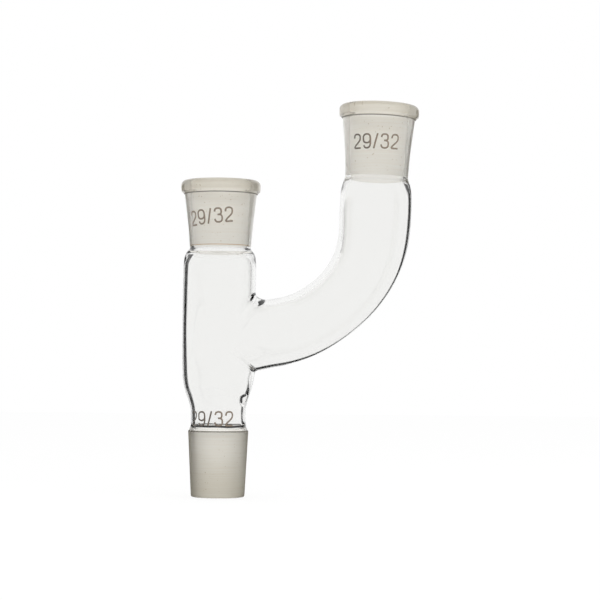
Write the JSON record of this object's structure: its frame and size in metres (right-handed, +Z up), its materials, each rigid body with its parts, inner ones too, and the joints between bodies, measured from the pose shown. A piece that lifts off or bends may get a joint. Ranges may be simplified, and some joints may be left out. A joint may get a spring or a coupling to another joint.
{
  "type": "two-neck adapter",
  "caption": "Laboratory glass adapter: a ground cone at the foot, a ground socket straight above it and a second ground socket on a curved side arm.",
  "frame": {"origin": "on the cone's axis, at the lower end of the cone", "axes": "+Z up along the cone and the main socket, +X towards the side arm, +Y to the back"},
  "size_m": [0.1168, 0.0394, 0.1919],
  "materials": {
    "borosilicate_glass": "clear fire-polished tube, with fine ground frosting in the sockets and on the cone"
  },
  "bodies": {
    "root": {"glass_body": "borosilicate_glass"}
  },
  "joints": []
}
